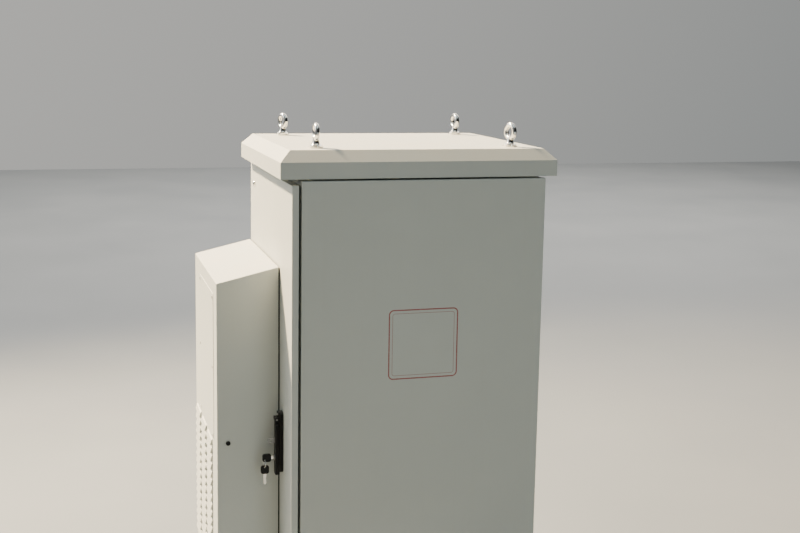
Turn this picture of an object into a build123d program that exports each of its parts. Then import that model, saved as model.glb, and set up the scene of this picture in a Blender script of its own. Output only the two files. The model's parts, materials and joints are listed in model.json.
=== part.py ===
"""Roadside utility cabinet: a welded post frame on a raised plinth, folded sheet
panels, a chamfered roof with four lifting eyebolts and one front door that
carries a wall-mounted air conditioner, a swing handle and two locking rods.

Row frame: millimetres, +Z up, origin on the floor at the centre of the four
anchor holes, front door facing -Y, handle side at +X.
"""
import os
from math import cos, sin, radians

from build123d import *

os.makedirs("parts", exist_ok=True)

# ---------------------------------------------------------------- dimensions
WIDTH = 650.0            # outer faces of the side panels
DEPTH = 680.0            # door outer face to rear panel outer face
PLINTH_H = 80.0
TOP = 1690.0             # top edge of the side panels
SHEET = 2.0              # body sheet
HX = WIDTH / 2
YF = -352.25             # door outer face
YR = YF + DEPTH          # rear panel outer face
DOOR_T = 17.0            # depth of the door's folded edge
YB = YF + 24.5           # front edge of the side panels
DOOR_Z0, DOOR_Z1 = 91.0, 1679.0
PAN_Z1 = PLINTH_H + SHEET
POST = 40.0
OPEN_X = 283.0           # half width of the door opening
OPEN_Z0, OPEN_Z1 = 123.0, 1647.0
GAP = 0.3                # clearance between parts that move past each other

ROOF_X = 321.0           # half width of the roof
ROOF_YF, ROOF_YR = YF - 29.0, YR + 33.0
ROOF_Z0, ROOF_Z1, ROOF_Z2 = TOP + 5.0, TOP + 47.0, TOP + 76.0
ROOF_C = 29.0            # horizontal run of the roof chamfer

EYE_X, EYE_YF, EYE_YR = 232.0, YF + 79.0, YF + 612.0
ANCHOR_X, ANCHOR_Y, ANCHOR_R = 311.5, 314.25, 7.0

HINGE_X, HINGE_Y = -HX + 6.0, YF + 13.0
HINGE_Z = (250.0, 885.0, 1520.0)
PIN_R = 3.0

AC_X0, AC_X1 = -323.0, 158.0
AC_Z0, AC_ZO, AC_ZW = 529.0, 1406.0, 1445.0   # bottom, outer top, wall top
AC_YO, AC_YW = YF - 168.4, YF - 4.0           # outer face, wall side
AC_T = 1.5
FAN_X, FAN_Z = -82.5, 742.0
BLOW_X, BLOW_Z = -150.0, 1285.0

LOCK_X, LOCK_Z = 198.0, 1043.0                # swing handle pivot
KEY_Z = 936.5
CAM_P = 10.0                                  # cam pin offset
ROD_Y0, ROD_Y1 = YF + 13.3, YF + 17.3


def block(x0, x1, y0, y1, z0, z1, mode=Mode.ADD):
    """Axis-aligned block between two corners, inside the open BuildPart."""
    with Locations(((x0 + x1) / 2, (y0 + y1) / 2, (z0 + z1) / 2)):
        Box(x1 - x0, y1 - y0, z1 - z0, mode=mode)


def facing(y):
    """Sketch plane at depth y, seen from the front: local x = X, local y = Z."""
    return Plane.XZ.offset(-y)


def rod_y(x, z, y0, y1, r, mode=Mode.ADD):
    """Round bar along Y, inside the open BuildPart."""
    with Locations((x, (y0 + y1) / 2, z)):
        Cylinder(r, y1 - y0, rotation=(90, 0, 0), mode=mode)


def rod_z(x, y, z0, z1, r, mode=Mode.ADD):
    """Round bar along Z, inside the open BuildPart."""
    with Locations((x, y, (z0 + z1) / 2)):
        Cylinder(r, z1 - z0, mode=mode)


def rod_x(y, z, x0, x1, r, mode=Mode.ADD):
    """Round bar along X, inside the open BuildPart."""
    with Locations(((x0 + x1) / 2, y, z)):
        Cylinder(r, x1 - x0, rotation=(0, 90, 0), mode=mode)


# -------------------------------------------------------------------- plinth
CH_L = HX - 70.0         # half length of the front and rear channels
CH_D = 30.0              # depth of the channel, web at the inside

with BuildPart() as plinth_ends:
    for sy in (-1, 1):
        ys = sorted((sy * (YR - CH_D), sy * YR))
        block(-CH_L, CH_L, ys[0], ys[1], 0, PLINTH_H)
        ys = sorted((sy * (YR - CH_D + 3), sy * YR))
        block(-CH_L, CH_L, ys[0], ys[1], 4, PLINTH_H - 4, mode=Mode.SUBTRACT)
        for x in (-180, 180):
            rod_z(x, sy * (YR - 12), 0, 4, 5, Mode.SUBTRACT)
plinth_ends.part.label = "plinth_ends"
export_step(plinth_ends.part, "parts/plinth_ends.step")

with BuildPart() as plinth_sides:
    for sx in (-1, 1):
        xs = sorted((sx * (HX - CH_D), sx * HX))
        block(xs[0], xs[1], YB + 70, YR - 70, 0, PLINTH_H)
        xs = sorted((sx * (HX - CH_D + 3), sx * HX))
        block(xs[0], xs[1], YB + 70, YR - 70, 4, PLINTH_H - 4, mode=Mode.SUBTRACT)
        for y in (-180, 180):
            rod_z(sx * (HX - 12), y, 0, 4, 5, Mode.SUBTRACT)
plinth_sides.part.label = "plinth_sides"
export_step(plinth_sides.part, "parts/plinth_sides.step")

# Corner feet: foot plate, head plate, recessed corner web and two gussets.
with BuildPart() as plinth_feet:
    for sx in (-1, 1):
        for sy in (-1, 1):
            def bx(a, b, c, d, e, f, mode=Mode.ADD):
                xs = sorted((sx * a, sx * b))
                ys = sorted((sy * c, sy * d))
                block(xs[0], xs[1], ys[0], ys[1], e, f, mode)
            bx(HX - 70, HX, YR - 70, YR, 0, 4)
            bx(HX - 70, HX, YR - 70, YR, PLINTH_H - 4, PLINTH_H)
            bx(HX - 70, HX - 27, YR - 30, YR - 27, 4, PLINTH_H - 4)
            bx(HX - 30, HX - 27, YR - 70, YR - 30, 4, PLINTH_H - 4)
            with BuildSketch(Plane.YZ.offset(sx * (HX - 66) - 1.5)):
                with BuildLine():
                    Polyline((sy * (YR - 27), 4), (sy * (YR - 4), 4),
                             (sy * (YR - 27), 58), (sy * (YR - 27), 4))
                make_face()
            extrude(amount=3)
            with BuildSketch(facing(sy * (YR - 66) + 1.5)):
                with BuildLine():
                    Polyline((sx * (HX - 27), 4), (sx * (HX - 4), 4),
                             (sx * (HX - 27), 58), (sx * (HX - 27), 4))
                make_face()
            extrude(amount=3)
            rod_z(sx * ANCHOR_X, sy * ANCHOR_Y, 0, 4, ANCHOR_R, Mode.SUBTRACT)
plinth_feet.part.label = "plinth_feet"
export_step(plinth_feet.part, "parts/plinth_feet.step")

# Hex bolts up through the channels into the base pan.
with BuildPart() as plinth_bolts:
    with BuildSketch(Plane.XY.offset(PLINTH_H - 4 - 6)):
        with Locations((-200, YB + 13), (200, YB + 13), (-200, YR - 13), (200, YR - 13),
                       (-HX + 13, -200), (-HX + 13, 200), (HX - 13, -200), (HX - 13, 200)):
            RegularPolygon(8.0, 6)
    extrude(amount=6)
plinth_bolts.part.label = "plinth_bolts"
export_step(plinth_bolts.part, "parts/plinth_bolts.step")

# ------------------------------------------------------------------ base pan
with BuildPart() as base_pan:
    block(-HX, HX, YB, YR, PLINTH_H, PAN_Z1)
    block(-150, 150, 70, 210, PLINTH_H, PAN_Z1, mode=Mode.SUBTRACT)
base_pan.part.label = "base_pan"
export_step(base_pan.part, "parts/base_pan.step")

GLAND_X = (-105, -35, 35, 105)
with BuildPart() as gland_plate:
    block(-170, 170, 50, 230, PAN_Z1, PAN_Z1 + 2)
    for gx in GLAND_X:
        rod_z(gx, 140, PAN_Z1, PAN_Z1 + 2, 16.2, Mode.SUBTRACT)
gland_plate.part.label = "gland_plate"
export_step(gland_plate.part, "parts/gland_plate.step")

with BuildPart() as cable_glands:
    for gx in GLAND_X:
        rod_z(gx, 140, PAN_Z1 - 16, PAN_Z1 + 2, 16.0)
        with BuildSketch(Plane.XY.offset(PAN_Z1 + 2)):
            with Locations((gx, 140)):
                RegularPolygon(23, 6)
        extrude(amount=7)
        rod_z(gx, 140, PAN_Z1 + 9, PAN_Z1 + 26, 17.0)
        rod_z(gx, 140, PAN_Z1 - 16, PAN_Z1 + 26, 10.0, Mode.SUBTRACT)
cable_glands.part.label = "cable_glands"
export_step(cable_glands.part, "parts/cable_glands.step")

# --------------------------------------------------------------------- frame
PX0, PX1 = HX - SHEET - POST, HX - SHEET        # post, inner and outer side
PF0, PF1 = YB + SHEET, YB + SHEET + POST        # front posts
PR0, PR1 = YR - SHEET - POST, YR - SHEET        # rear posts
POST_Z1 = TOP - 4.0


def tube_z(x0, x1, y0, y1, z0, z1, t=2.0):
    block(x0, x1, y0, y1, z0, z1)
    block(x0 + t, x1 - t, y0 + t, y1 - t, z0, z1, mode=Mode.SUBTRACT)


with BuildPart() as front_posts:
    tube_z(-PX1, -PX0, PF0, PF1, PAN_Z1 + SHEET, POST_Z1)
    tube_z(PX0, PX1, PF0, PF1, PAN_Z1 + SHEET, POST_Z1)
front_posts.part.label = "front_posts"
export_step(front_posts.part, "parts/front_posts.step")

with BuildPart() as rear_posts:
    tube_z(-PX1, -PX0, PR0, PR1, PAN_Z1 + SHEET, POST_Z1)
    tube_z(PX0, PX1, PR0, PR1, PAN_Z1 + SHEET, POST_Z1)
rear_posts.part.label = "rear_posts"
export_step(rear_posts.part, "parts/rear_posts.step")

RAIL_Z0 = OPEN_Z1 + 2.0
with BuildPart() as top_rails:
    for s in (-1, 1):
        xs = sorted((s * PX0, s * PX1))
        block(xs[0], xs[1], PF1, PR0, RAIL_Z0, POST_Z1)
        block(xs[0] + 2, xs[1] - 2, PF1, PR0, RAIL_Z0 + 2, POST_Z1 - 2, mode=Mode.SUBTRACT)
    for y0, y1 in ((PF0, PF1), (PR0, PR1)):
        block(-PX0, PX0, y0, y1, RAIL_Z0, POST_Z1)
        block(-PX0, PX0, y0 + 2, y1 - 2, RAIL_Z0 + 2, POST_Z1 - 2, mode=Mode.SUBTRACT)
top_rails.part.label = "top_rails"
export_step(top_rails.part, "parts/top_rails.step")

LIP_Y = YF + 11.0        # front edge of the sealing lip
with BuildPart() as door_head:
    block(-304.5, 304.5, YB, YB + SHEET, RAIL_Z0, DOOR_Z1 - 2)
    block(-OPEN_X, OPEN_X, LIP_Y, YB + SHEET, OPEN_Z1, RAIL_Z0)
door_head.part.label = "door_head"
export_step(door_head.part, "parts/door_head.step")

with BuildPart() as door_sill:
    block(-304.5, 304.5, YB, YB + SHEET, DOOR_Z0 + 2, OPEN_Z0 - 2)
    block(-OPEN_X, OPEN_X, LIP_Y, YB + SHEET, OPEN_Z0 - 2, OPEN_Z0)
door_sill.part.label = "door_sill"
export_step(door_sill.part, "parts/door_sill.step")

with BuildPart() as door_jambs:
    for s in (-1, 1):
        xs = sorted((s * 304.5, s * OPEN_X))
        block(xs[0], xs[1], YB, YB + SHEET, OPEN_Z0 - 2, RAIL_Z0)
        xs = sorted((s * (OPEN_X + 2), s * OPEN_X))
        block(xs[0], xs[1], LIP_Y, YB + SHEET, OPEN_Z0 - 2, RAIL_Z0)
door_jambs.part.label = "door_jambs"
export_step(door_jambs.part, "parts/door_jambs.step")

# -------------------------------------------------------------------- panels
with BuildPart() as side_panel_right:
    block(HX - 20, HX, YB, YR, PAN_Z1, TOP)
    fillet(side_panel_right.faces().sort_by(Axis.X)[-1].edges(), 1.9)
    block(HX - 20, HX - SHEET, YB + SHEET, YR - SHEET, PAN_Z1 + SHEET, TOP - SHEET,
          mode=Mode.SUBTRACT)
side_panel_right.part.label = "side_panel_right"
export_step(side_panel_right.part, "parts/side_panel_right.step")

with BuildPart() as side_panel_left:
    block(-HX, -HX + 20, YB, YR, PAN_Z1, TOP)
    fillet(side_panel_left.faces().sort_by(Axis.X)[0].edges(), 1.9)
    block(-HX + SHEET, -HX + 20, YB + SHEET, YR - SHEET, PAN_Z1 + SHEET, TOP - SHEET,
          mode=Mode.SUBTRACT)
side_panel_left.part.label = "side_panel_left"
export_step(side_panel_left.part, "parts/side_panel_left.step")

with BuildPart() as rear_panel:
    block(-HX + 21, HX - 21, YR - SHEET, YR, PAN_Z1 + 1, TOP - 1)
    fillet(rear_panel.faces().sort_by(Axis.Y)[-1].edges(), 1.2)
rear_panel.part.label = "rear_panel"
export_step(rear_panel.part, "parts/rear_panel.step")

with BuildPart() as ceiling_plate:
    block(-PX1, PX1, YB + SHEET, YR - SHEET, POST_Z1, POST_Z1 + SHEET)
ceiling_plate.part.label = "ceiling_plate"
export_step(ceiling_plate.part, "parts/ceiling_plate.step")

# ---------------------------------------------------------------------- roof
ROOF_YC, ROOF_YL = (ROOF_YF + ROOF_YR) / 2, ROOF_YR - ROOF_YF
with BuildPart() as roof_cover:
    with BuildSketch(Plane.XY.offset(ROOF_Z0)):
        with Locations((0, ROOF_YC)):
            Rectangle(2 * ROOF_X, ROOF_YL)
    extrude(amount=ROOF_Z1 - ROOF_Z0)
    with BuildSketch(Plane.XY.offset(ROOF_Z1)):
        with Locations((0, ROOF_YC)):
            Rectangle(2 * ROOF_X, ROOF_YL)
    extrude(amount=ROOF_Z2 - ROOF_Z1, taper=45)
    with BuildSketch(Plane.XY.offset(ROOF_Z0 + SHEET)):
        with Locations((0, ROOF_YC)):
            Rectangle(2 * ROOF_X - 4, ROOF_YL - 4)
    extrude(amount=ROOF_Z1 - ROOF_Z0 - SHEET - 0.8, mode=Mode.SUBTRACT)
    with BuildSketch(Plane.XY.offset(ROOF_Z1 - 0.8)):
        with Locations((0, ROOF_YC)):
            Rectangle(2 * ROOF_X - 4, ROOF_YL - 4)
    extrude(amount=ROOF_Z2 - ROOF_Z1 - SHEET + 0.8, taper=45, mode=Mode.SUBTRACT)
    with BuildSketch(Plane.XY.offset(ROOF_Z0)):
        with Locations((0, ROOF_YC)):
            Rectangle(2 * ROOF_X - 28, ROOF_YL - 28)
    extrude(amount=SHEET, mode=Mode.SUBTRACT)
    for ex in (-EYE_X, EYE_X):
        for ey in (EYE_YF, EYE_YR):
            rod_z(ex, ey, ROOF_Z2 - 3, ROOF_Z2 + 1, 8.6, Mode.SUBTRACT)
roof_cover.part.label = "roof_cover"
export_step(roof_cover.part, "parts/roof_cover.step")

BLOCK_Z0, BLOCK_Z1 = POST_Z1 + SHEET, ROOF_Z2 - SHEET
with BuildPart() as lifting_blocks:
    for ex in (-EYE_X, EYE_X):
        for ey in (EYE_YF, EYE_YR):
            block(ex - 22, ex + 22, ey - 22, ey + 22, BLOCK_Z0, BLOCK_Z1)
            rod_z(ex, ey, BLOCK_Z0 + 20, BLOCK_Z1, 8.1, Mode.SUBTRACT)
lifting_blocks.part.label = "lifting_blocks"
export_step(lifting_blocks.part, "parts/lifting_blocks.step")

WASH_T = 3.0
with BuildPart() as eyebolt_washers:
    for ex in (-EYE_X, EYE_X):
        for ey in (EYE_YF, EYE_YR):
            rod_z(ex, ey, ROOF_Z2, ROOF_Z2 + WASH_T, 20.0)
            rod_z(ex, ey, ROOF_Z2, ROOF_Z2 + WASH_T, 8.6, Mode.SUBTRACT)
eyebolt_washers.part.label = "eyebolt_washers"
export_step(eyebolt_washers.part, "parts/eyebolt_washers.step")

# Forged eyebolts, M16: ring 22 inside, 48 outside, stout neck and flared collar on the washer.
EYE_BASE = ROOF_Z2 + WASH_T
EYE_RC = EYE_BASE + 38.0
EYES = ((EYE_X, EYE_YF, 0), (EYE_X, EYE_YR, 16), (-EYE_X, EYE_YF, 20), (-EYE_X, EYE_YR, 6))
with BuildPart() as lifting_eyebolts:
    for ex, ey, ang in EYES:
        rod_z(ex, ey, EYE_BASE - 42, EYE_BASE, 7.95)
        with BuildSketch(Plane(origin=(ex, ey, EYE_BASE), x_dir=(1, 0, 0), z_dir=(0, -1, 0))):
            with BuildLine():
                Polyline((0, 0), (17.0, 0), (17.0, 4.0))
                ThreePointArc((17.0, 4.0), (11.6, 6.9), (9.2, 12))
                Polyline((9.2, 12), (7.6, 21), (0, 21), (0, 0))
            make_face()
        revolve(axis=Axis((ex, ey, 0), (0, 0, 1)))
        a = radians(ang)
        with Locations(Plane(origin=(ex, ey, EYE_RC), x_dir=(cos(a), sin(a), 0),
                             z_dir=(-sin(a), cos(a), 0))):
            Torus(17.5, 6.5)
lifting_eyebolts.part.label = "lifting_eyebolts"
export_step(lifting_eyebolts.part, "parts/lifting_eyebolts.step")

# ---------------------------------------------------------------- rack rails
U_PITCH, U_COUNT, RACK_Z0 = 44.45, 33, 140.0
RACK_HX = 232.55
RACK_ZS = [RACK_Z0 + U_PITCH * u + o for u in range(U_COUNT) for o in (6.35, 22.225, 38.1)]


def rack_rail(s, y, d):
    """One punched rail at x side s, front face at y, web running in direction d."""
    xs = sorted((s * 225.5, s * 247.5))
    ys = sorted((y, y + 2 * d))
    block(xs[0], xs[1], ys[0], ys[1], PAN_Z1 + 48, 1632)
    xs = sorted((s * 245.5, s * 247.5))
    ys = sorted((y, y + 30 * d))
    block(xs[0], xs[1], ys[0], ys[1], PAN_Z1 + 48, 1632)
    with BuildSketch(facing(max(y, y + 2 * d))) as holes:
        with Locations(*[(s * RACK_HX, z) for z in RACK_ZS]):
            Rectangle(9.5, 9.5)
    extrude(holes.sketch, amount=2, mode=Mode.SUBTRACT)


RACK_YF, RACK_YR = YB + 80.0, YR - 78.0
with BuildPart() as rack_rails:
    for s in (-1, 1):
        rack_rail(s, RACK_YF, 1)
        rack_rail(s, RACK_YR, -1)
rack_rails.part.label = "rack_rails"
export_step(rack_rails.part, "parts/rack_rails.step")

with BuildPart() as rail_brackets:
    for s in (-1, 1):
        for z in (PAN_Z1 + 45, 860.0, 1632.0):
            xs = sorted((s * 225.5, s * PX0))
            if z == 860.0:
                xs = sorted((s * 247.5, s * PX0))
            block(xs[0], xs[1], PF1, PR0, z, z + 3)
            xs = sorted((s * (PX0 - 3), s * PX0))
            block(xs[0], xs[1], PF1, PR0, z - 22, z)
rail_brackets.part.label = "rail_brackets"
export_step(rail_brackets.part, "parts/rail_brackets.step")

with BuildPart() as earth_bar:
    block(-110, 110, YR - 28, YR - 23, 190, 215)
    for i in range(9):
        rod_y(-88 + 22 * i, 202.5, YR - 28, YR - 23, 3.2, Mode.SUBTRACT)
earth_bar.part.label = "earth_bar"
export_step(earth_bar.part, "parts/earth_bar.step")

with BuildPart() as earth_bar_posts:
    for x in (-99, 99):
        rod_y(x, 202.5, YR - 23, YR - SHEET, 9.0)
earth_bar_posts.part.label = "earth_bar_posts"
export_step(earth_bar_posts.part, "parts/earth_bar_posts.step")

# ------------------------------------------------------------- hinge, keeper
with BuildPart() as hinge_brackets:
    for hz in HINGE_Z:
        block(-HX, -HX + 28, YB - 4, YB, hz - 30, hz + 30)
        for z0 in (hz - 28, hz + 12):
            block(HINGE_X - 5, HINGE_X + 5, HINGE_Y, YB - 4, z0, z0 + 16)
            rod_z(HINGE_X, HINGE_Y, z0, z0 + 16, 5.0)
            rod_z(HINGE_X, HINGE_Y, z0, z0 + 16, PIN_R + 0.03, Mode.SUBTRACT)
hinge_brackets.part.label = "hinge_brackets"
export_step(hinge_brackets.part, "parts/hinge_brackets.step")

with BuildPart() as hinge_pins:
    for hz in HINGE_Z:
        rod_z(HINGE_X, HINGE_Y, hz - 31, hz + 28, PIN_R)
        rod_z(HINGE_X, HINGE_Y, hz + 28, hz + 31, 4.6)
hinge_pins.part.label = "hinge_pins"
export_step(hinge_pins.part, "parts/hinge_pins.step")

UP_X, LO_X = LOCK_X - 12.0, LOCK_X + 12.0       # rod centre lines
KEEP_Y1 = YB + 6.0
with BuildPart() as rod_keepers:
    block(UP_X - 14, UP_X + 14, LIP_Y, KEEP_Y1, OPEN_Z1 - 19, OPEN_Z1)
    block(UP_X - 9, UP_X + 9, LIP_Y, YF + 18.5, OPEN_Z1 - 19, OPEN_Z1, mode=Mode.SUBTRACT)
    block(LO_X - 14, LO_X + 14, LIP_Y, KEEP_Y1, OPEN_Z0, OPEN_Z0 + 19)
    block(LO_X - 9, LO_X + 9, LIP_Y, YF + 18.5, OPEN_Z0, OPEN_Z0 + 19, mode=Mode.SUBTRACT)
rod_keepers.part.label = "rod_keepers"
export_step(rod_keepers.part, "parts/rod_keepers.step")

# ---------------------------------------------------------------------- door
with BuildPart() as door_panel:
    block(-HX, HX, YF, YF + DOOR_T, DOOR_Z0, DOOR_Z1)
    fillet(door_panel.faces().sort_by(Axis.Y)[0].edges(), 1.9)
    block(-HX + SHEET, HX - SHEET, YF + SHEET, YF + DOOR_T, DOOR_Z0 + SHEET, DOOR_Z1 - SHEET,
          mode=Mode.SUBTRACT)
    for hz in HINGE_Z:
        block(-HX, -HX + SHEET, YF + 3, YF + DOOR_T, hz - 34, hz + 34, mode=Mode.SUBTRACT)
    block(-225, 60, YF, YF + SHEET, 1195, 1375, mode=Mode.SUBTRACT)
    block(-225, 60, YF, YF + SHEET, 600, 780, mode=Mode.SUBTRACT)
    rod_y(LOCK_X, LOCK_Z, YF, YF + SHEET, 12.0, Mode.SUBTRACT)
door_panel.part.label = "door_panel"
export_step(door_panel.part, "parts/door_panel.step")

with BuildPart() as door_gasket:
    block(-290, 290, YF + SHEET, LIP_Y - GAP, 116, 1654)
    block(-278, 278, YF + SHEET, LIP_Y - GAP, 128, 1642, mode=Mode.SUBTRACT)
door_gasket.part.label = "door_gasket"
export_step(door_gasket.part, "parts/door_gasket.step")

with BuildPart() as hinge_leaves:
    for hz in HINGE_Z:
        z0, z1 = hz - 11.7, hz + 11.7
        block(HINGE_X - 2, -293, YF + SHEET, YF + 5, z0, z1)
        block(HINGE_X - 3, HINGE_X + 3, YF + 5, HINGE_Y, z0, z1)
        rod_z(HINGE_X, HINGE_Y, z0, z1, 5.0)
        rod_z(HINGE_X, HINGE_Y, z0, z1, PIN_R + 0.06, Mode.SUBTRACT)
hinge_leaves.part.label = "hinge_leaves"
export_step(hinge_leaves.part, "parts/hinge_leaves.step")

with BuildPart() as rod_guides:
    for gx, gz in ((UP_X, 1300), (UP_X, 1560), (LO_X, 820), (LO_X, 500), (LO_X, 200)):
        block(gx - 13, gx + 13, YF + SHEET, YF + 20, gz - 6, gz + 6)
        block(gx - 8.35, gx + 8.35, ROD_Y0 - 0.35, YF + 20, gz - 6, gz + 6, mode=Mode.SUBTRACT)
rod_guides.part.label = "rod_guides"
export_step(rod_guides.part, "parts/rod_guides.step")

with BuildPart() as door_stud:
    with BuildSketch(Plane(origin=(-250, YF, 1623), x_dir=(1, 0, 0), z_dir=(0, 0, 1))):
        with BuildLine():
            Polyline((0, 0), (7.5, 0), (7.5, -2))
            ThreePointArc((7.5, -2), (5.4, -4.9), (2, -6.2))
            Polyline((2, -6.2), (0, -6.2), (0, 0))
        make_face()
    revolve(axis=Axis((-250, YF, 1623), (0, 1, 0)))
door_stud.part.label = "door_stud"
export_step(door_stud.part, "parts/door_stud.step")

# ------------------------------------------------------------ locking rods
with BuildPart() as upper_rod:
    block(UP_X - 8, UP_X + 8, ROD_Y0, ROD_Y1, LOCK_Z + 2, 1640)
    block(LOCK_X - 17.0, LOCK_X - 7.15, ROD_Y0, ROD_Y1, LOCK_Z + 6.7, LOCK_Z + 13.3,
          mode=Mode.SUBTRACT)
upper_rod.part.label = "upper_rod"
export_step(upper_rod.part, "parts/upper_rod.step")

with BuildPart() as lower_rod:
    block(LO_X - 8, LO_X + 8, ROD_Y0, ROD_Y1, 130, LOCK_Z - 2)
    block(LOCK_X + 7.15, LOCK_X + 17.0, ROD_Y0, ROD_Y1, LOCK_Z - 13.3, LOCK_Z - 6.7,
          mode=Mode.SUBTRACT)
lower_rod.part.label = "lower_rod"
export_step(lower_rod.part, "parts/lower_rod.step")

# -------------------------------------------------------------- swing handle
with BuildPart() as handle_base:
    with BuildSketch(facing(YF)):
        with Locations((LOCK_X, 980)):
            RectangleRounded(34, 167, 12)
    extrude(amount=9)
    fillet(handle_base.faces().sort_by(Axis.Y)[0].edges(), 2)
    with BuildSketch(facing(YF - 8.5)):
        with Locations((LOCK_X, 1058)):
            RectangleRounded(24, 9, 4.4)
        with Locations((LOCK_X, LOCK_Z)):
            Circle(15.4, mode=Mode.SUBTRACT)
    extrude(amount=4.5)
    rod_y(LOCK_X, LOCK_Z, YF - 10, YF, 9.0, Mode.SUBTRACT)
handle_base.part.label = "handle_base"
export_step(handle_base.part, "parts/handle_base.step")

PIV_Y = YF - 17.0
with BuildPart() as lock_spindle:
    rod_y(LOCK_X, LOCK_Z, YF - 9.4, YF + 4, 8.94)
    rod_y(LOCK_X, LOCK_Z, YF - 10.5, YF - 9.3, 12.6)
    rod_y(LOCK_X, LOCK_Z, YF + 4, YF + 12.7, 6.0)
    rod_y(LOCK_X, LOCK_Z, YF + 9, YF + 12.7, 20.0)
    for s in (-1, 1):
        xs = sorted((LOCK_X + s * 9, LOCK_X + s * 13))
        block(xs[0], xs[1], YF - 21.5, YF - 9.3, LOCK_Z - 5, LOCK_Z + 5)
        rod_y(LOCK_X + s * CAM_P, LOCK_Z - s * CAM_P, YF + 12.7, YF + 18.4, 2.5)
    rod_x(PIV_Y, LOCK_Z, LOCK_X - 14, LOCK_X + 14, 2.53, Mode.SUBTRACT)
lock_spindle.part.label = "lock_spindle"
export_step(lock_spindle.part, "parts/lock_spindle.step")

with BuildPart() as lever_pin:
    rod_x(PIV_Y, LOCK_Z, LOCK_X - 13.4, LOCK_X + 13.4, 2.5)
lever_pin.part.label = "lever_pin"
export_step(lever_pin.part, "parts/lever_pin.step")

LEV_Y0, LEV_Y1 = YF - 20.5, YF - 9.5
with BuildPart() as handle_lever:
    with BuildSketch(facing(LEV_Y1)):
        with Locations((LOCK_X, 959.5)):
            RectangleRounded(27, 141, 7)
    extrude(amount=LEV_Y1 - LEV_Y0)
    fillet(handle_lever.faces().sort_by(Axis.Y)[0].edges(), 3)
    block(LOCK_X - 8.6, LOCK_X + 8.6, PIV_Y - 3.5, PIV_Y + 5.5, 1026, LOCK_Z)
    rod_x(PIV_Y, LOCK_Z, LOCK_X - 8.6, LOCK_X + 8.6, 5.5)
    rod_x(PIV_Y, LOCK_Z, LOCK_X - 9, LOCK_X + 9, 2.56, Mode.SUBTRACT)
    rod_y(LOCK_X, KEY_Z, LEV_Y0, LEV_Y1, 8.06, Mode.SUBTRACT)
handle_lever.part.label = "handle_lever"
export_step(handle_lever.part, "parts/handle_lever.step")

with BuildPart() as padlock_eye:
    with BuildSketch(Plane.YZ.offset(LOCK_X - 1.5)):
        with BuildLine():
            Polyline((LEV_Y0, 976), (LEV_Y0 - 11, 976))
            ThreePointArc((LEV_Y0 - 11, 976), (LEV_Y0 - 19, 984), (LEV_Y0 - 11, 992))
            Polyline((LEV_Y0 - 11, 992), (LEV_Y0, 992), (LEV_Y0, 976))
        make_face()
        with Locations((LEV_Y0 - 11, 984)):
            Circle(4.3, mode=Mode.SUBTRACT)
    extrude(amount=3)
padlock_eye.part.label = "padlock_eye"
export_step(padlock_eye.part, "parts/padlock_eye.step")

with BuildPart() as lock_barrel:
    rod_y(LOCK_X, KEY_Z, LEV_Y0 - 3.5, LEV_Y1, 8.0)
    block(LOCK_X - 1.2, LOCK_X + 1.2, LEV_Y0 - 3.5, LEV_Y1 - 1.5, KEY_Z - 4.1, KEY_Z + 4.1,
          mode=Mode.SUBTRACT)
lock_barrel.part.label = "lock_barrel"
export_step(lock_barrel.part, "parts/lock_barrel.step")

BOW_Y1 = LEV_Y0 - 10.0
BOW_Y0 = BOW_Y1 - 23.0


def key_bow_solid(y0, y1, z0, z1, hy, hz):
    """Moulded square key head with a ring hole, lying in a YZ plane."""
    with BuildSketch(Plane.YZ.offset(LOCK_X - 2.6)) as head:
        with Locations(((y0 + y1) / 2, (z0 + z1) / 2)):
            RectangleRounded(y1 - y0, z1 - z0, 6)
        with Locations((hy, hz)):
            Circle(2.6, mode=Mode.SUBTRACT)
    extrude(head.sketch, amount=5.2)


RING_Y, RING_Z, RING_R = BOW_Y0 + 6.5, KEY_Z - 6.5, 9.5
with BuildPart() as key_blade:
    block(LOCK_X - 1.1, LOCK_X + 1.1, BOW_Y1, LEV_Y1 - 2.5, KEY_Z - 4, KEY_Z + 4)
key_blade.part.label = "key_blade"
export_step(key_blade.part, "parts/key_blade.step")

with BuildPart() as key_bow:
    key_bow_solid(BOW_Y0, BOW_Y1, KEY_Z - 11, KEY_Z + 11, RING_Y, RING_Z)
key_bow.part.label = "key_bow"
export_step(key_bow.part, "parts/key_bow.step")

with BuildPart() as key_ring:
    with Locations(Plane(origin=(LOCK_X, RING_Y, RING_Z - RING_R), x_dir=(1, 0, 0),
                         z_dir=(0, 1, 0))):
        Torus(RING_R, 0.9)
key_ring.part.label = "key_ring"
export_step(key_ring.part, "parts/key_ring.step")

SP_Z1 = RING_Z - 2 * RING_R + 5.0
with BuildPart() as spare_key_bow:
    key_bow_solid(RING_Y - 11, RING_Y + 11, SP_Z1 - 23, SP_Z1, RING_Y, SP_Z1 - 5.0)
spare_key_bow.part.label = "spare_key_bow"
export_step(spare_key_bow.part, "parts/spare_key_bow.step")

with BuildPart() as spare_key_blade:
    with BuildSketch(Plane.YZ.offset(LOCK_X - 1.1)):
        with BuildLine():
            Polyline((RING_Y - 4, SP_Z1 - 23), (RING_Y - 4, SP_Z1 - 49), (RING_Y, SP_Z1 - 53.5),
                     (RING_Y + 4, SP_Z1 - 49), (RING_Y + 4, SP_Z1 - 45), (RING_Y + 2.6, SP_Z1 - 41),
                     (RING_Y + 4, SP_Z1 - 37), (RING_Y + 2.4, SP_Z1 - 33),
                     (RING_Y + 4, SP_Z1 - 29), (RING_Y + 4, SP_Z1 - 23),
                     (RING_Y - 4, SP_Z1 - 23))
        make_face()
    extrude(amount=2.2)
spare_key_blade.part.label = "spare_key_blade"
export_step(spare_key_blade.part, "parts/spare_key_blade.step")

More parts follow.
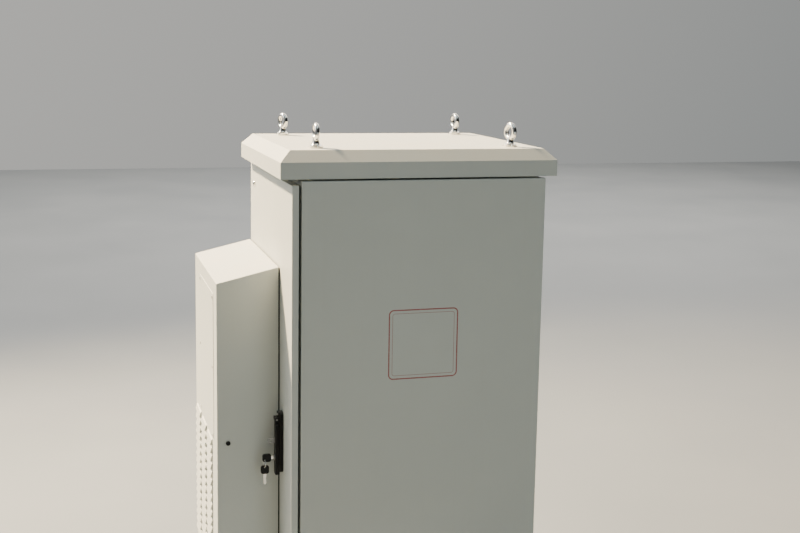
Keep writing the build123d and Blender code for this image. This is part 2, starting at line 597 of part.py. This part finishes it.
# ----------------------------------------------------------- air conditioner
LOUV_W, LOUV_GAP, LOUV_N, LOUV_PITCH, LOUV_Z0 = 93.0, 34.0, 17, 23.2, 563.0
LOUV_X = [-286.0 + i * (LOUV_W + LOUV_GAP) for i in range(3)]
LOUV_OUT = 6.6
with BuildPart() as ac_housing:
    with BuildSketch(Plane.YZ.offset(AC_X0)):
        with BuildLine():
            Polyline((AC_YW, AC_Z0), (AC_YO, AC_Z0), (AC_YO, AC_ZO), (AC_YW, AC_ZW),
                     (AC_YW, AC_Z0))
        make_face()
    extrude(amount=AC_X1 - AC_X0)
    fillet(ac_housing.edges().filter_by(lambda e: abs(e.center().Y - AC_YW) > 1.0), 2.5)
    with BuildSketch(Plane.YZ.offset(AC_X0 + AC_T)):
        with BuildLine():
            Polyline((AC_YW, AC_Z0 + AC_T), (AC_YO + AC_T, AC_Z0 + AC_T),
                     (AC_YO + AC_T, AC_ZO - AC_T), (AC_YW, AC_ZW - AC_T - 0.1),
                     (AC_YW, AC_Z0 + AC_T))
        make_face()
    extrude(amount=AC_X1 - AC_X0 - 2 * AC_T, mode=Mode.SUBTRACT)
    # Pressed louvres: a hood over each slot, closed at the top and both ends.
    for lx in LOUV_X:
        with BuildSketch(facing(AC_YO + AC_T)):
            for i in range(LOUV_N):
                z = LOUV_Z0 + i * LOUV_PITCH
                with Locations((lx + LOUV_W / 2, z + 7.5)):
                    Rectangle(LOUV_W - 4, 10)
        extrude(amount=AC_T, mode=Mode.SUBTRACT)
        with BuildSketch(Plane.YZ.offset(lx)):
            for i in range(LOUV_N):
                z = LOUV_Z0 + i * LOUV_PITCH
                with BuildLine():
                    Polyline((AC_YO + 0.2, z + 19.0), (AC_YO - 3.4, z + 16.4),
                             (AC_YO - LOUV_OUT, z + 5.0), (AC_YO - LOUV_OUT, z + 1.6),
                             (AC_YO - LOUV_OUT + 1.2, z + 1.6), (AC_YO - LOUV_OUT + 1.2, z + 4.8),
                             (AC_YO - 2.5, z + 15.2), (AC_YO + 0.2, z + 17.2),
                             (AC_YO + 0.2, z + 19.0))
                make_face()
        extrude(amount=LOUV_W)
        for cx in (lx, lx + LOUV_W - 1.2):
            with BuildSketch(Plane.YZ.offset(cx)):
                for i in range(LOUV_N):
                    z = LOUV_Z0 + i * LOUV_PITCH
                    with BuildLine():
                        Polyline((AC_YO + 0.2, z + 18.6), (AC_YO - 3.4, z + 16.4),
                                 (AC_YO - LOUV_OUT, z + 5.0), (AC_YO - LOUV_OUT, z + 1.6),
                                 (AC_YO + 0.2, z + 1.6), (AC_YO + 0.2, z + 18.6))
                    make_face()
            extrude(amount=1.2)
    rod_x(YF - 139, 971, AC_X1 - AC_T, AC_X1, 4.6, Mode.SUBTRACT)
    rod_x(YF - 139, 971, AC_X0, AC_X0 + AC_T, 4.6, Mode.SUBTRACT)
ac_housing.part.label = "ac_housing"
export_step(ac_housing.part, "parts/ac_housing.step")

with BuildPart() as ac_seal:
    block(AC_X0 + 2, AC_X1 - 2, AC_YW, YF, AC_Z0 + 2, AC_ZW - 3)
    block(AC_X0 + 16, AC_X1 - 16, AC_YW, YF, AC_Z0 + 16, AC_ZW - 17, mode=Mode.SUBTRACT)
ac_seal.part.label = "ac_seal"
export_step(ac_seal.part, "parts/ac_seal.step")

COV_X0, COV_X1, COV_Z0, COV_Z1 = -197.0, 96.0, 962.0, 1367.0
with BuildPart() as ac_service_cover:
    with BuildSketch(facing(AC_YO)):
        with Locations(((COV_X0 + COV_X1) / 2, (COV_Z0 + COV_Z1) / 2)):
            RectangleRounded(COV_X1 - COV_X0, COV_Z1 - COV_Z0, 6)
    extrude(amount=1.2)
    fillet(ac_service_cover.faces().sort_by(Axis.Y)[0].edges(), 0.7)
ac_service_cover.part.label = "ac_service_cover"
export_step(ac_service_cover.part, "parts/ac_service_cover.step")

with BuildPart() as ac_cover_screws:
    for x in (COV_X0 + 11, COV_X1 - 11):
        for z in (COV_Z0 + 11, (COV_Z0 + COV_Z1) / 2, COV_Z1 - 11):
            rod_y(x, z, AC_YO - 3.2, AC_YO - 1.2, 4.2)
            block(x - 2.6, x + 2.6, AC_YO - 3.2, AC_YO - 2.3, z - 0.6, z + 0.6,
                  mode=Mode.SUBTRACT)
ac_cover_screws.part.label = "ac_cover_screws"
export_step(ac_cover_screws.part, "parts/ac_cover_screws.step")

with BuildPart() as ac_side_plugs:
    rod_x(YF - 139, 971, AC_X1 - AC_T, AC_X1, 4.5)
    rod_x(YF - 139, 971, AC_X1, AC_X1 + 2.2, 6.2)
    rod_x(YF - 139, 971, AC_X0, AC_X0 + AC_T, 4.5)
    rod_x(YF - 139, 971, AC_X0 - 2.2, AC_X0, 6.2)
ac_side_plugs.part.label = "ac_side_plugs"
export_step(ac_side_plugs.part, "parts/ac_side_plugs.step")

with BuildPart() as ac_divider:
    block(AC_X0 + 2, AC_X1 - 2, AC_YO + 2, AC_YW, 950, 953)
ac_divider.part.label = "ac_divider"
export_step(ac_divider.part, "parts/ac_divider.step")

# Inner cover with two grilles, on the room side of the door.
with BuildPart() as ac_inner_cover:
    block(-250, 90, YF + SHEET, YF + 42, 570, 1405)
    fillet(ac_inner_cover.faces().sort_by(Axis.Y)[-1].edges(), 4)
    block(-248.5, 88.5, YF + SHEET, YF + 40.5, 571.5, 1403.5, mode=Mode.SUBTRACT)
    for z0 in (600, 1200):
        with BuildSketch(facing(YF + 42)):
            for i in range(9):
                with Locations((-80, z0 + i * 20)):
                    SlotOverall(270, 9)
        extrude(amount=2, mode=Mode.SUBTRACT)
ac_inner_cover.part.label = "ac_inner_cover"
export_step(ac_inner_cover.part, "parts/ac_inner_cover.step")

with BuildPart() as condenser_coil:
    block(-300, 135, YF - 45, YF - 17, 556, 946)
condenser_coil.part.label = "condenser_coil"
export_step(condenser_coil.part, "parts/condenser_coil.step")

with BuildPart() as evaporator_coil:
    block(-290, 10, YF - 45, YF - 17, 1170, 1400)
evaporator_coil.part.label = "evaporator_coil"
export_step(evaporator_coil.part, "parts/evaporator_coil.step")

with BuildPart() as compressor:
    with BuildSketch(Plane(origin=(90, YF - 86, 953), x_dir=(1, 0, 0), z_dir=(0, -1, 0))):
        with BuildLine():
            Polyline((0, 0), (54, 0), (54, 4), (46, 8), (46, 128))
            ThreePointArc((46, 128), (36, 150), (14, 160))
            Polyline((14, 160), (0, 160), (0, 0))
        make_face()
    revolve(axis=Axis((90, YF - 86, 0), (0, 0, 1)))
compressor.part.label = "compressor"
export_step(compressor.part, "parts/compressor.step")

with BuildPart() as fan_shrouds:
    block(AC_X0 + 2, AC_X1 - 2, YF - 122, YF - 120, 533, 950)
    rod_y(FAN_X, FAN_Z, YF - 122, YF - 120, 112, Mode.SUBTRACT)
    block(FAN_X - 14, FAN_X + 14, YF - 104, YF - 102, 533, 950)
    block(FAN_X - 14, FAN_X + 14, YF - 122, YF - 102, 533, 540)
    block(FAN_X - 14, FAN_X + 14, YF - 122, YF - 102, 943, 950)
    rod_y(FAN_X, FAN_Z, YF - 104, YF - 102, 4.5, Mode.SUBTRACT)
    block(AC_X0 + 2, 10, YF - 122, YF - 120, 1170, 1402)
    rod_y(BLOW_X, BLOW_Z, YF - 122, YF - 120, 82, Mode.SUBTRACT)
    block(BLOW_X - 14, BLOW_X + 14, YF - 104, YF - 102, 1170, 1402)
    block(BLOW_X - 14, BLOW_X + 14, YF - 122, YF - 102, 1170, 1177)
    block(BLOW_X - 14, BLOW_X + 14, YF - 122, YF - 102, 1395, 1402)
    rod_y(BLOW_X, BLOW_Z, YF - 104, YF - 102, 4.5, Mode.SUBTRACT)
fan_shrouds.part.label = "fan_shrouds"
export_step(fan_shrouds.part, "parts/fan_shrouds.step")

with BuildPart() as fan_motors:
    for mx, mz in ((FAN_X, FAN_Z), (BLOW_X, BLOW_Z)):
        rod_y(mx, mz, YF - 102, YF - 60, 30)
        rod_y(mx, mz, YF - 132, YF - 102, 4.0)
fan_motors.part.label = "fan_motors"
export_step(fan_motors.part, "parts/fan_motors.step")

with BuildPart() as condenser_fan:
    rod_y(FAN_X, FAN_Z, YF - 133, YF - 107, 30)
    for k in range(5):
        a = radians(72 * k + 18)
        c = (FAN_X + cos(a) * 63, YF - 120, FAN_Z + sin(a) * 63)
        radial = Vector(cos(a), 0, sin(a))
        tang = Vector(-sin(a), 0, cos(a))
        pitch = radians(32)
        chord = tang * cos(pitch) + Vector(0, 1, 0) * sin(pitch)
        with Locations(Plane(origin=c, x_dir=radial, z_dir=radial.cross(chord))):
            Box(78, 44, 2.2)
    rod_y(FAN_X, FAN_Z, YF - 133, YF - 107, 4.05, Mode.SUBTRACT)
condenser_fan.part.label = "condenser_fan"
export_step(condenser_fan.part, "parts/condenser_fan.step")

with BuildPart() as blower_wheel:
    rod_y(BLOW_X, BLOW_Z, YF - 110, YF - 107, 72)
    rod_y(BLOW_X, BLOW_Z, YF - 133, YF - 107, 12)
    with BuildSketch(facing(YF - 155)):
        with Locations((BLOW_X, BLOW_Z)):
            Circle(72)
            Circle(60, mode=Mode.SUBTRACT)
    extrude(amount=3)
    with BuildSketch(facing(YF - 110)):
        with Locations((BLOW_X, BLOW_Z)):
            with PolarLocations(66, 30):
                Rectangle(11, 1.6)
    extrude(amount=46)
    rod_y(BLOW_X, BLOW_Z, YF - 133, YF - 107, 4.05, Mode.SUBTRACT)
blower_wheel.part.label = "blower_wheel"
export_step(blower_wheel.part, "parts/blower_wheel.step")
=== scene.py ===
"""Looks of the roadside utility cabinet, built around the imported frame."""
import json
import math

import bmesh
import bpy
from mathutils import Matrix, Vector


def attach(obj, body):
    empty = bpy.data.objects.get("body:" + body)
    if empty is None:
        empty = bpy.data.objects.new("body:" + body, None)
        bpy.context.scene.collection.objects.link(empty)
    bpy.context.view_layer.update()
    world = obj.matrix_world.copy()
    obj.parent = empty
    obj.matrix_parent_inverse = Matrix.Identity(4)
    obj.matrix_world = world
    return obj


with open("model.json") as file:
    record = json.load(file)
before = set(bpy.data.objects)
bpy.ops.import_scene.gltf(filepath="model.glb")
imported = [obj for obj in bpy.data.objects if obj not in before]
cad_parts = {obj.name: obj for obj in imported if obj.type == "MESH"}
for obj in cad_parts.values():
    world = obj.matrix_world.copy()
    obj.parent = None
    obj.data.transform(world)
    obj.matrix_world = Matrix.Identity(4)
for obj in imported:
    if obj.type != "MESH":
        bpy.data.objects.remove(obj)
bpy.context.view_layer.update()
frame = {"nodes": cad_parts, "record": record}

NODES = frame["nodes"]

SCENE = bpy.context.scene


# ------------------------------------------------------------------ materials
class Mat:
    """A small builder for node materials in object space (metres)."""

    def __init__(self, name):
        self.m = bpy.data.materials.new(name)
        self.m.use_nodes = True
        self.t = self.m.node_tree
        self.t.nodes.clear()
        self.out = self.t.nodes.new("ShaderNodeOutputMaterial")
        self.b = self.t.nodes.new("ShaderNodeBsdfPrincipled")
        self.t.links.new(self.b.outputs[0], self.out.inputs[0])
        self.coord = self.t.nodes.new("ShaderNodeTexCoord")

    def link(self, a, b):
        self.t.links.new(a, b)

    def set(self, **kw):
        for k, v in kw.items():
            self.b.inputs[k.replace("_", " ")].default_value = v
        return self

    def space(self, scale=(1, 1, 1), rot=(0, 0, 0)):
        n = self.t.nodes.new("ShaderNodeMapping")
        n.inputs["Scale"].default_value = scale
        n.inputs["Rotation"].default_value = rot
        self.link(self.coord.outputs["Object"], n.inputs["Vector"])
        return n.outputs["Vector"]

    def noise(self, scale, detail=3.0, rough=0.5, vec=None, distort=0.0):
        n = self.t.nodes.new("ShaderNodeTexNoise")
        n.inputs["Scale"].default_value = scale
        n.inputs["Detail"].default_value = detail
        n.inputs["Roughness"].default_value = rough
        n.inputs["Distortion"].default_value = distort
        self.link(vec or self.coord.outputs["Object"], n.inputs["Vector"])
        return n.outputs["Fac"]

    def voronoi(self, scale, vec=None, feature="F1", out="Distance"):
        n = self.t.nodes.new("ShaderNodeTexVoronoi")
        n.feature = feature
        n.inputs["Scale"].default_value = scale
        self.link(vec or self.coord.outputs["Object"], n.inputs["Vector"])
        return n.outputs[out]

    def wave(self, scale, vec=None, direction="X", distort=0.0):
        n = self.t.nodes.new("ShaderNodeTexWave")
        n.bands_direction = direction
        n.inputs["Scale"].default_value = scale
        n.inputs["Distortion"].default_value = distort
        self.link(vec or self.coord.outputs["Object"], n.inputs["Vector"])
        return n.outputs["Fac"]

    def ramp(self, fac, stops):
        n = self.t.nodes.new("ShaderNodeValToRGB")
        e = n.color_ramp.elements
        while len(e) < len(stops):
            e.new(0.5)
        for el, (p, c) in zip(e, stops):
            el.position = p
            el.color = (*c, 1) if isinstance(c, tuple) else (c, c, c, 1)
        self.link(fac, n.inputs["Fac"])
        return n.outputs["Color"]

    def remap(self, fac, a, b, c, d):
        n = self.t.nodes.new("ShaderNodeMapRange")
        for k, v in zip(("From Min", "From Max", "To Min", "To Max"), (a, b, c, d)):
            n.inputs[k].default_value = v
        self.link(fac, n.inputs["Value"])
        return n.outputs["Result"]

    def math(self, op, a, b=None, clamp=False):
        n = self.t.nodes.new("ShaderNodeMath")
        n.operation = op
        n.use_clamp = clamp
        for i, v in enumerate((a, b)):
            if v is None:
                continue
            if isinstance(v, (int, float)):
                n.inputs[i].default_value = v
            else:
                self.link(v, n.inputs[i])
        return n.outputs[0]

    def mix(self, fac, a, b, kind="MIX"):
        n = self.t.nodes.new("ShaderNodeMix")
        n.data_type = "RGBA"
        n.blend_type = kind
        for key, v in ((0, fac), (6, a), (7, b)):
            if isinstance(v, (int, float)):
                n.inputs[key].default_value = v
            elif isinstance(v, tuple):
                n.inputs[key].default_value = (*v, 1)
            else:
                self.link(v, n.inputs[key])
        return n.outputs[2]

    def up(self):
        """0 on walls and undersides, 1 on top faces."""
        g = self.t.nodes.new("ShaderNodeNewGeometry")
        s = self.t.nodes.new("ShaderNodeSeparateXYZ")
        self.link(g.outputs["True Normal"], s.inputs[0])
        return self.remap(s.outputs["Z"], 0.35, 0.95, 0.0, 1.0)

    def bevel(self, radius):
        n = self.t.nodes.new("ShaderNodeBevel")
        n.samples = 4
        n.inputs["Radius"].default_value = radius
        return n.outputs["Normal"]

    def edge(self, radius, gain=1.0):
        """Mask that is 1 on sharp edges and 0 on flats."""
        n = self.bevel(radius)
        g = self.t.nodes.new("ShaderNodeNewGeometry")
        d = self.t.nodes.new("ShaderNodeVectorMath")
        d.operation = "DOT_PRODUCT"
        self.link(n, d.inputs[0])
        self.link(g.outputs["True Normal"], d.inputs[1])
        return self.remap(d.outputs["Value"], 1.0, 0.72, 0.0, gain)

    def bump(self, height, strength, distance, normal=None):
        n = self.t.nodes.new("ShaderNodeBump")
        n.inputs["Strength"].default_value = strength
        n.inputs["Distance"].default_value = distance
        self.link(height, n.inputs["Height"])
        if normal is not None:
            self.link(normal, n.inputs["Normal"])
        return n.outputs["Normal"]

    def done(self, color=None, rough=None, normal=None, metal=None):
        if color is not None:
            self.link(color, self.b.inputs["Base Color"])
        if rough is not None:
            self.link(rough, self.b.inputs["Roughness"])
        if normal is not None:
            self.link(normal, self.b.inputs["Normal"])
        if metal is not None:
            self.link(metal, self.b.inputs["Metallic"])
        return self.m


def scaled(c, k):
    return tuple(min(1.0, v * k) for v in c)


def paint(name, base, rough=0.46, round_r=0.0016, dust=0.35, peel=1.0, print_on=None):
    """Fine textured powder coat: mottled grey, orange peel, light edges that are partly worn paint and partly
    painted highlight, dust on tops.
    """
    m = Mat(name)
    m.set(Metallic=0.0, Specular_IOR_Level=0.45)
    broad = m.noise(1.7, 3, 0.55)
    mid = m.noise(14.0, 4, 0.6)
    streak = m.noise(5.0, 4, 0.6, vec=m.space((9, 9, 0.5)))
    col = m.ramp(broad, [(0.25, scaled(base, 0.965)), (0.75, scaled(base, 1.03))])
    col = m.mix(m.remap(mid, 0.35, 0.75, 0.0, 0.32), col, scaled(base, 0.955))
    col = m.mix(m.remap(streak, 0.55, 0.8, 0.0, 0.16), col, tuple(a * b for a, b in zip(base, (0.93, 0.905, 0.86))))
    fleck = m.voronoi(900.0)
    col = m.mix(m.remap(fleck, 0.05, 0.35, 0.10, 0.0), col, scaled(base, 0.86))
    dustmask = m.math("MULTIPLY", m.up(), m.remap(m.noise(7.0, 5, 0.65), 0.35, 0.72, 0.15, 1.0))
    col = m.mix(m.math("MULTIPLY", dustmask, dust), col, (0.60, 0.555, 0.48))
    # Edges lightened: partly thin, worn paint on the folds and partly painted highlight along the rounded edges.
    edge = m.edge(round_r * 1.9, 1.0)
    wear_and_edge_highlight = m.math("MULTIPLY", edge, m.remap(m.noise(60.0, 3, 0.6), 0.3, 0.7, 0.55, 1.0))
    col = m.mix(wear_and_edge_highlight, col, scaled(base, 1.38))
    if print_on:
        col = print_on(m, col)
    r = m.math("ADD", m.remap(mid, 0.2, 0.8, rough - 0.05, rough + 0.06),
               m.math("MULTIPLY", dustmask, 0.16))
    peel_h = m.math("ADD", m.noise(520.0, 2, 0.5), m.math("MULTIPLY", m.noise(1700.0, 2, 0.5), 0.5))
    nrm = m.bump(peel_h, 0.22 * peel, 0.00025, m.bevel(round_r))
    wob = m.bump(m.noise(3.1, 2, 0.4), 0.06, 0.02, nrm)
    return m.done(col, r, wob)


def metal(name, base, rough=0.2, grain=0.0, smudge=0.1, round_r=0.0006, spangle=0.0):
    m = Mat(name)
    m.set(Metallic=1.0)
    a = m.noise(38.0, 4, 0.6)
    col = m.ramp(a, [(0.3, scaled(base, 0.93)), (0.7, scaled(base, 1.04))])
    r = m.remap(a, 0.25, 0.75, rough, rough + smudge)
    nrm = m.bevel(round_r)
    if spangle:
        v = m.voronoi(240.0, feature="F1", out="Color")
        s = m.t.nodes.new("ShaderNodeSeparateColor")
        m.link(v, s.inputs[0])
        col = m.mix(spangle, col, m.ramp(s.outputs[0], [(0.0, scaled(base, 0.78)), (1.0, scaled(base, 1.1))]))
        r = m.math("ADD", r, m.remap(s.outputs[1], 0, 1, -0.06, 0.08))
    if grain:
        g = m.noise(900.0, 2, 0.5, vec=m.space((1, 1, 0.04)))
        nrm = m.bump(g, grain, 0.0002, nrm)
    else:
        nrm = m.bump(m.noise(230.0, 3, 0.5), 0.05, 0.0004, nrm)
    return m.done(col, r, nrm)


def plastic(name, base, rough=0.4, grain=900.0, strength=0.12, round_r=0.0008, wear=0.3, metal_edge=None, spec=0.5):
    m = Mat(name)
    m.set(Metallic=0.0, Specular_IOR_Level=spec)
    a = m.noise(45.0, 4, 0.6)
    col = m.ramp(a, [(0.3, scaled(base, 0.85)), (0.7, scaled(base, 1.2))])
    e = m.math("MULTIPLY", m.edge(round_r * 1.3, 1.0), m.remap(m.noise(300.0, 3, 0.6), 0.42, 0.7, 0.0, wear))
    col = m.mix(e, col, metal_edge or scaled(base, 3.2))
    dustmask = m.math("MULTIPLY", m.up(), 0.25)
    col = m.mix(dustmask, col, (0.35, 0.33, 0.30))
    r = m.remap(a, 0.25, 0.75, rough - 0.05, rough + 0.1)
    return m.done(col, r, m.bump(m.noise(grain, 2, 0.5), strength, 0.0002, m.bevel(round_r)))


def frame_line(m, cy, cz, hy, hz, r, width):
    """Mask of a rounded rectangle's outline on the +X face, in metres."""
    xyz = m.t.nodes.new("ShaderNodeSeparateXYZ")
    m.link(m.coord.outputs["Object"], xyz.inputs[0])
    qy = m.math("SUBTRACT", m.math("ABSOLUTE", m.math("SUBTRACT", xyz.outputs["Y"], cy)), hy - r)
    qz = m.math("SUBTRACT", m.math("ABSOLUTE", m.math("SUBTRACT", xyz.outputs["Z"], cz)), hz - r)
    py, pz = m.math("MAXIMUM", qy, 0.0), m.math("MAXIMUM", qz, 0.0)
    reach = m.math("SQRT", m.math("ADD", m.math("MULTIPLY", py, py), m.math("MULTIPLY", pz, pz)))
    d = m.math("SUBTRACT", m.math("ADD", reach, m.math("MINIMUM", m.math("MAXIMUM", qy, qz), 0.0)), r)
    line = m.remap(m.math("ABSOLUTE", d), width / 2 - 0.0002, width / 2 + 0.0002, 1.0, 0.0)
    return m.math("MULTIPLY", line, m.remap(xyz.outputs["X"], 0.3236, 0.3244, 0.0, 1.0))


def empty_frame(m, col):
    """A blank, screen-printed field: two dark red lines with a little wear."""
    lines = m.math("MAXIMUM", frame_line(m, -0.003, 1.2595, 0.093, 0.0915, 0.012, 0.0034),
                   frame_line(m, -0.003, 1.2595, 0.084, 0.0825, 0.006, 0.0010))
    ink = m.math("MULTIPLY", lines, m.remap(m.noise(420.0, 3, 0.6), 0.25, 0.5, 0.55, 0.94))
    return m.mix(ink, col, (0.30, 0.035, 0.03))


PAINT = paint("powder_coat_light_grey", (0.572, 0.610, 0.588))
PAINT_DARK = paint("powder_coat_frame", (0.533, 0.568, 0.548), rough=0.5, dust=0.5)
PAINT_MARK = paint("powder_coat_with_print", (0.572, 0.610, 0.588), print_on=empty_frame)
CHROME = metal("bright_chrome", (0.83, 0.82, 0.80), 0.06, smudge=0.14)
STEEL = metal("bright_steel", (0.66, 0.65, 0.63), 0.18, smudge=0.14)
DULL_STEEL = metal("dull_steel", (0.30, 0.30, 0.30), 0.34, smudge=0.12)
ZINC = metal("zinc_plate", (0.60, 0.61, 0.62), 0.30, smudge=0.1, spangle=0.5)
BLACK_COAT = plastic("black_powder_coat", (0.0055, 0.0055, 0.006), 0.42, 1100, 0.16, wear=0.3, metal_edge=(0.05, 0.05, 0.052), spec=0.2)
BLACK_PLASTIC = plastic("black_moulded_plastic", (0.006, 0.006, 0.0065), 0.40, 1500, 0.14, wear=0.2, metal_edge=(0.04, 0.04, 0.042), spec=0.2)
RUBBER = plastic("foam_rubber", (0.012, 0.012, 0.012), 0.75, 700, 0.4, wear=0.1)
GLOSS_BLACK = plastic("gloss_black_enamel", (0.012, 0.012, 0.013), 0.16, 160, 0.03, wear=0.1)
MOTOR = plastic("motor_enamel", (0.05, 0.052, 0.055), 0.4, 700, 0.1, wear=0.3)
COPPER = metal("drawn_copper", (0.80, 0.42, 0.26), 0.24, grain=0.1, smudge=0.18)
INSUL = plastic("red_insulator", (0.32, 0.03, 0.02), 0.3, 500, 0.06, wear=0.1)


def coil_mat():
    m = Mat("coil_fins")
    m.set(Metallic=1.0)
    fin_bands_with_gap_shade = m.wave(260.0, direction="X")
    rows = m.wave(11.0, direction="Z")
    # Fin bands: the near-black part is painted shade in the gaps between fins; the lighter part is the fins' own
    # metal.
    col = m.ramp(fin_bands_with_gap_shade, [(0.2, 0.05), (0.55, 0.42), (0.9, 0.62)])
    col = m.mix(m.remap(rows, 0.86, 0.97, 0.0, 0.55), col, (0.55, 0.30, 0.18))
    r = m.remap(m.noise(40, 3), 0.2, 0.8, 0.28, 0.45)
    return m.done(col, r, m.bump(fin_bands_with_gap_shade, 0.8, 0.001))


COIL = coil_mat()

FINISH = {
    "paint": PAINT, "frame_paint": PAINT_DARK, "zinc": ZINC, "chrome": CHROME,
    "handle_black": BLACK_COAT, "lock_steel": DULL_STEEL, "black_plastic": BLACK_PLASTIC,
    "stud": STEEL, "gasket": RUBBER, "compressor_black": GLOSS_BLACK, "coil": COIL,
    "motor": MOTOR, "copper": COPPER, "insulator": INSUL,
}
for sp in frame["record"]["subparts"]:
    o = NODES.get(sp["node"])
    if o is None:
        continue
    mat = PAINT_MARK if sp["node"] == "side_panel_right" else FINISH[sp["material_slot"]]
    if not o.data.materials:
        o.data.materials.append(mat)
    for i in range(len(o.data.materials)):
        o.data.materials[i] = mat


# --------------------------------------------------------------- helper for new meshes
def new_mesh(name, bm, mat, body, slot):
    me = bpy.data.meshes.new(name)
    bm.normal_update()
    bm.to_mesh(me)
    bm.free()
    o = bpy.data.objects.new(name, me)
    SCENE.collection.objects.link(o)
    me.materials.append(mat)
    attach(o, body)
    return o


# ---------------------------------------------------------------------- floor
def floor_mat():
    m = Mat("pale_floor")
    m.set(Metallic=0.0)
    a = m.noise(0.9, 5, 0.55)
    col = m.ramp(a, [(0.3, (0.198, 0.222, 0.246)), (0.7, (0.228, 0.252, 0.276))])
    return m.done(col, m.remap(a, 0.2, 0.8, 0.55, 0.7), m.bump(m.noise(40, 4), 0.05, 0.002))


bm = bmesh.new()
bmesh.ops.create_grid(bm, x_segments=1, y_segments=1, size=17)
me = bpy.data.meshes.new("floor")
bm.to_mesh(me)
bm.free()
floor = bpy.data.objects.new("floor", me)
floor.location = (0, 0, -0.0005)
SCENE.collection.objects.link(floor)
me.materials.append(floor_mat())


# --------------------------------------------------------------------- lights
def area(name, loc, target, size, power, color):
    d = bpy.data.lights.new(name, "AREA")
    d.shape = "RECTANGLE"
    d.size, d.size_y = size
    d.energy = power
    d.color = color
    o = bpy.data.objects.new(name, d)
    o.location = loc
    o.rotation_mode = "QUATERNION"
    o.rotation_quaternion = (Vector(target) - Vector(loc)).to_track_quat("-Z", "Y")
    SCENE.collection.objects.link(o)
    return o


sun_d = bpy.data.lights.new("window_sun", "SPOT")
sun_d.energy = 23000
sun_d.shadow_soft_size = 0.32
sun_d.spot_size = math.radians(78)
sun_d.spot_blend = 1.0
sun_d.color = (1.0, 0.75, 0.455)
sun = bpy.data.objects.new("window_sun", sun_d)
sun.location = Vector((0, 0, 1.2)) - 9.0 * Vector((0.47, 0.53, -0.70)).normalized()
sun.rotation_mode = "QUATERNION"
sun.rotation_quaternion = Vector((0.47, 0.53, -0.70)).to_track_quat("-Z", "Y")
SCENE.collection.objects.link(sun)
area("sky_left", (-3.0, -5.5, 4.2), (0, 0, 1.2), (4.5, 3.0), 190, (0.98, 0.98, 0.96))
area("ceiling", (0.9, 0.2, 5.4), (0.2, 0, 1.2), (3.6, 4.0), 40, (0.84, 0.99, 1.0))
area("low_right", (3.6, 0.6, 0.35), (0.3, 0, 0.25), (1.2, 3.4), 22, (0.82, 0.98, 1.0))
area("far_floor", (-10.5, 3.5, 6.0), (-10.5, 3.5, 0), (13, 15), 2200, (1.0, 0.90, 0.78))

# Soft surroundings: bright towards the windows at -X and -Y, dark towards +X.
world = bpy.data.worlds.new("studio")
world.use_nodes = True
wt = world.node_tree
wc = wt.nodes.new("ShaderNodeTexCoord")
wd = wt.nodes.new("ShaderNodeVectorMath")
wd.operation = "DOT_PRODUCT"
wd.inputs[1].default_value = (-0.80, -0.50, 0.33)
wt.links.new(wc.outputs["Generated"], wd.inputs[0])
wr = wt.nodes.new("ShaderNodeMapRange")
wr.inputs["From Min"].default_value = -1.0
wr.inputs["From Max"].default_value = 1.0
wt.links.new(wd.outputs["Value"], wr.inputs["Value"])
wk = wt.nodes.new("ShaderNodeValToRGB")
els = wk.color_ramp.elements
for pos, v in ((0.16, 0.035), (0.27, 0.10), (0.66, 0.50)):
    els.new(pos).color = (v * 0.96, v, v * 0.99, 1)
els[0].position, els[0].color = 0.0, (0.03, 0.032, 0.033, 1)
els[-1].position, els[-1].color = 1.0, (0.95, 0.93, 0.88, 1)
wt.links.new(wr.outputs["Result"], wk.inputs["Fac"])
wt.links.new(wk.outputs["Color"], wt.nodes["Background"].inputs[0])
wt.nodes["Background"].inputs[1].default_value = 0.60
SCENE.world = world

# --------------------------------------------------------------------- camera
cam_d = bpy.data.cameras.new("camera")
cam_d.sensor_width = 36.0
cam_d.lens = 1178.9 / 800 * 36.0
cam_d.shift_y = -0.05
cam_d.clip_start, cam_d.clip_end = 0.05, 200
cam = bpy.data.objects.new("camera", cam_d)
right = Vector((0.278229, 0.96037, 0.016668)).normalized()
down = Vector((0.145321, -0.024935, -0.98907)).normalized()
fwd = Vector((-0.949458, 0.27761, -0.1465)).normalized()
cam.matrix_world = Matrix.Translation((3.1934, -0.9105, 2.0135)) @ Matrix(
    ((right.x, -down.x, -fwd.x), (right.y, -down.y, -fwd.y), (right.z, -down.z, -fwd.z))).to_4x4()
SCENE.collection.objects.link(cam)
SCENE.camera = cam

bpy.context.view_layer.update()
